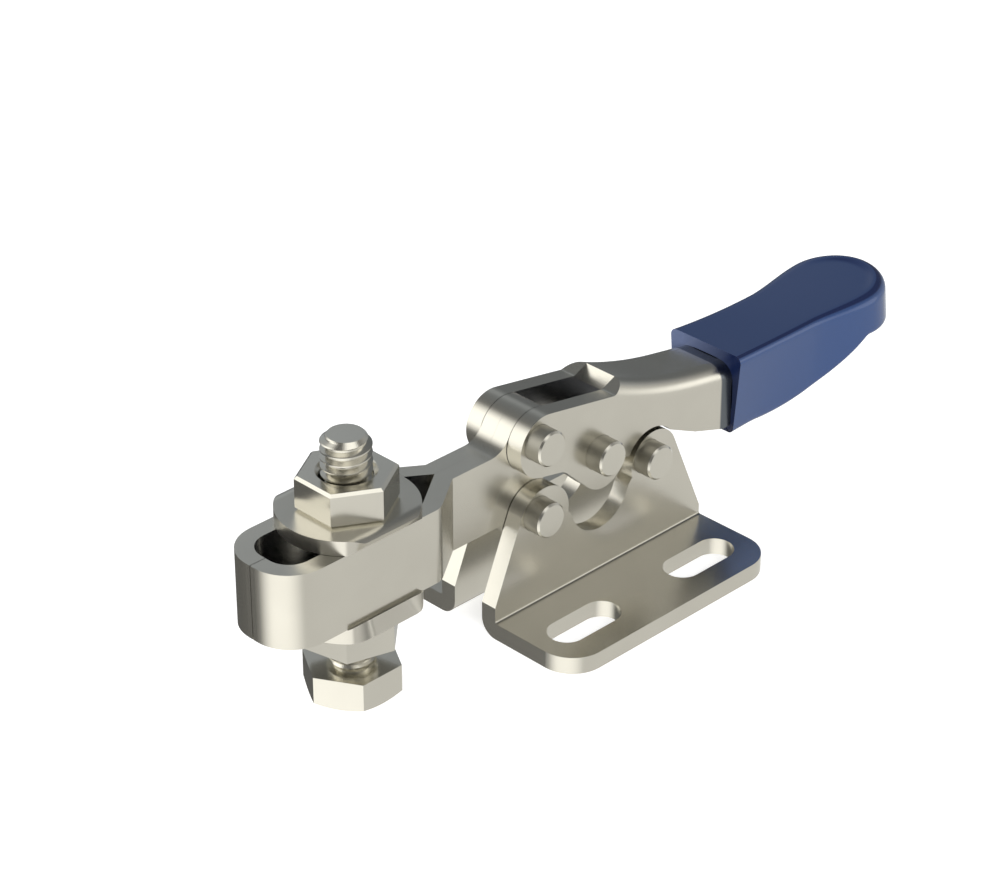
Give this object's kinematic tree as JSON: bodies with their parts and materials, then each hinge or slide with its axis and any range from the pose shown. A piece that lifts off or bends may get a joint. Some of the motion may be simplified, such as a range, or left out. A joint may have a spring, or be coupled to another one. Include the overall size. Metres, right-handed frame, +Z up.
{
  "type": "toggle clamp",
  "caption": "Horizontal hold-down toggle clamp with a flanged slotted base, forked arm, adjustable threaded spindle and plastic grip.",
  "frame": {"origin": "centre of the four base slots, on the underside of the base", "axes": "+X towards the handle, +Z up away from the mounting surface, +Y across the clamp"},
  "size_m": [0.0707, 0.0232, 0.0228],
  "materials": {
    "stamped_steel": "satin nickel plate, faintly brushed",
    "fastener_steel": "satin nickel plate",
    "grip_plastic": "glossy blue"
  },
  "bodies": {
    "base": {"base_angle_near": "stamped_steel", "base_angle_far": "stamped_steel", "arm_pivot_pin": "fastener_steel", "link_foot_pin_near": "fastener_steel", "link_foot_pin_far": "fastener_steel"},
    "arm": {"arm_half_near": "stamped_steel", "arm_half_far": "stamped_steel"},
    "handle": {"handle": "stamped_steel", "grip": "grip_plastic", "handle_pivot_pin": "fastener_steel", "link_top_pin": "fastener_steel"},
    "link": {"link_plate_near": "stamped_steel", "link_plate_far": "stamped_steel"},
    "spindle_seat": {"flanged_washer_top": "fastener_steel", "flanged_washer_bottom": "fastener_steel", "lock_nut_top": "fastener_steel", "lock_nut_bottom": "fastener_steel"},
    "spindle": {"clamping_bolt": "fastener_steel"}
  },
  "joints": [
    {"name": "arm_hinge", "type": "hinge", "parent": "base", "child": "arm", "pos_m": [-0.00731, 0, 0.00972], "axis": [0, 1, 0], "range_deg": [0, 72]},
    {"name": "handle_hinge", "type": "hinge", "parent": "arm", "child": "handle", "pos_m": [-0.00725, 0, 0.0162], "axis": [0, -1, 0], "range_deg": [0, 140.4]},
    {"name": "link_hinge", "type": "hinge", "parent": "handle", "child": "link", "pos_m": [-0.0003, 0, 0.01243], "axis": [0, 1, 0], "range_deg": [0, 130.3]},
    {"name": "spindle_along_slot", "type": "slide", "parent": "arm", "child": "spindle_seat", "axis": [1, 0, 0], "range_m": [-0.0055, 0.005]},
    {"name": "spindle_height", "type": "slide", "parent": "spindle_seat", "child": "spindle", "axis": [0, 0, 1], "range_m": [-0.0028, 0.0019]}
  ],
  "couplings": [
    {"joint": "handle_hinge", "follows": "arm_hinge", "ratio": 1.95},
    {"joint": "link_hinge", "follows": "arm_hinge", "ratio": 1.81}
  ]
}
